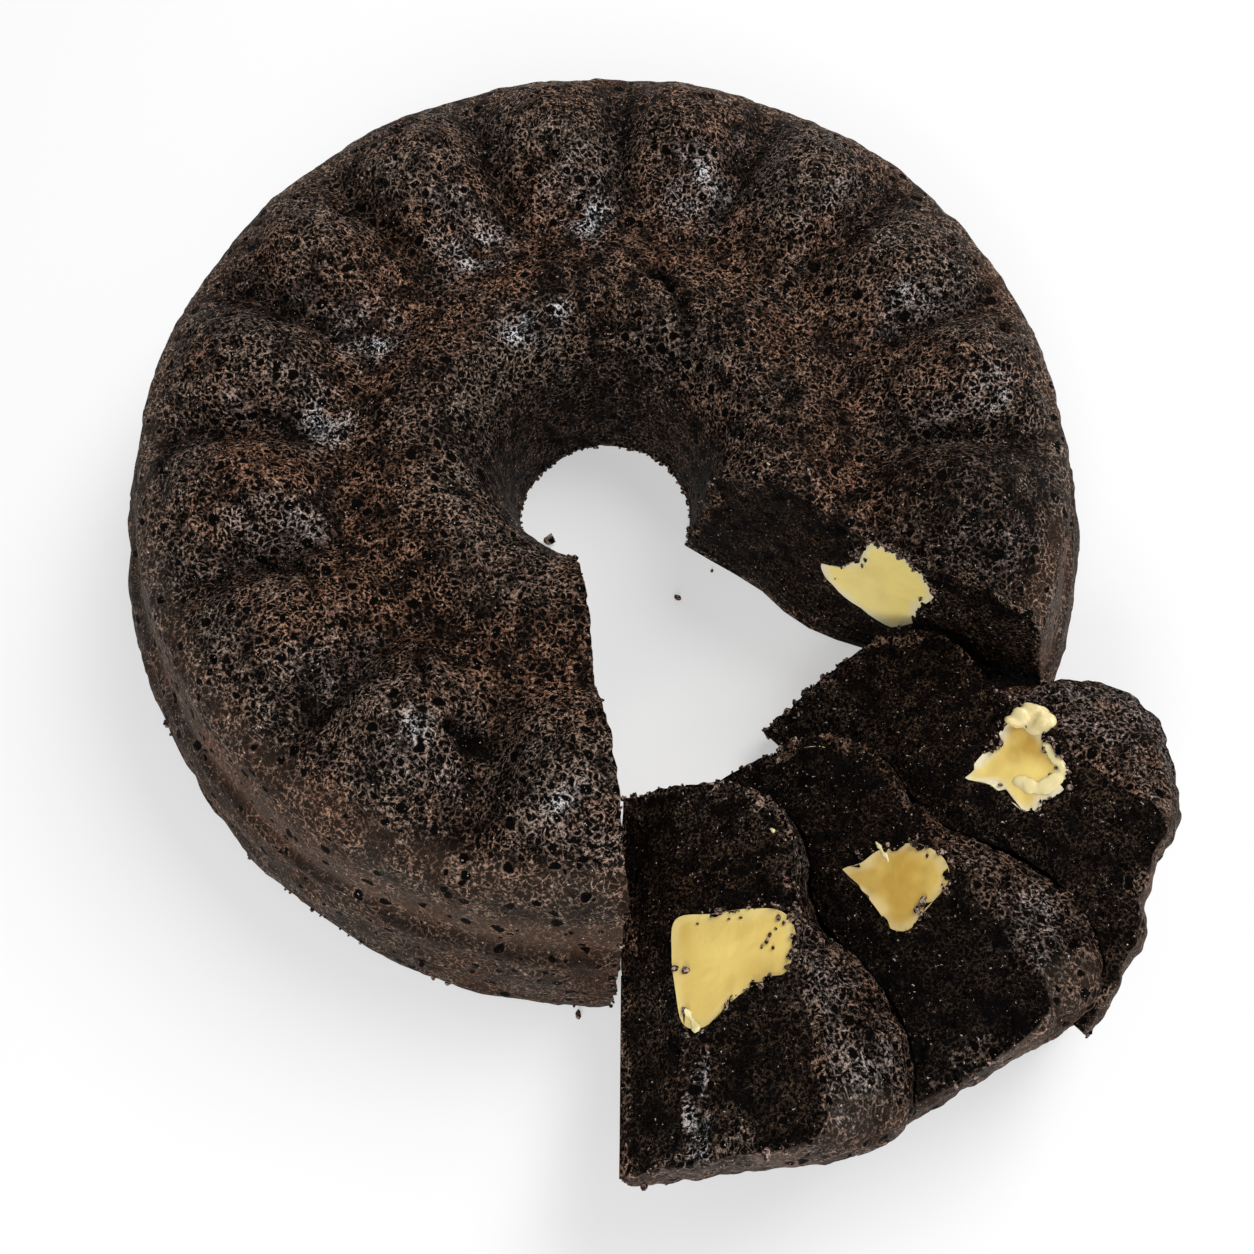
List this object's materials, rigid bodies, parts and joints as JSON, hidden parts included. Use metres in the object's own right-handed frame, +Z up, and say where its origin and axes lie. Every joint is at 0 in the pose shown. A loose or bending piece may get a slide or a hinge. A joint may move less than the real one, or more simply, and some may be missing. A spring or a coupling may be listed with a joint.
{
  "type": "black glutinous rice sponge cake",
  "caption": "Dark fluted ring cake with a pale custard filling, cut open at the front, with cut slices toppled and fanned beside the opening.",
  "frame": {"origin": "on the table, in the middle of the whole cake's length and width", "axes": "+Z up; the toppled slices lie towards -Y and +X; the hole's axis is parallel to Z, 2.5 mm towards -X and 15.9 mm towards +Y from the origin"},
  "size_m": [0.2208, 0.252, 0.0512],
  "materials": {
    "dark_rice_sponge": "dark, porous, crumbly steamed sponge with fine pale specks",
    "custard_filling": "smooth, moist, pale yellow custard"
  },
  "bodies": {
    "root": {"ring": "dark_rice_sponge", "ring_custard": "custard_filling", "slice_1": "dark_rice_sponge", "slice_1_custard": "custard_filling", "slice_2": "dark_rice_sponge", "slice_2_custard": "custard_filling", "slice_3": "dark_rice_sponge", "slice_3_custard": "custard_filling"}
  },
  "joints": []
}
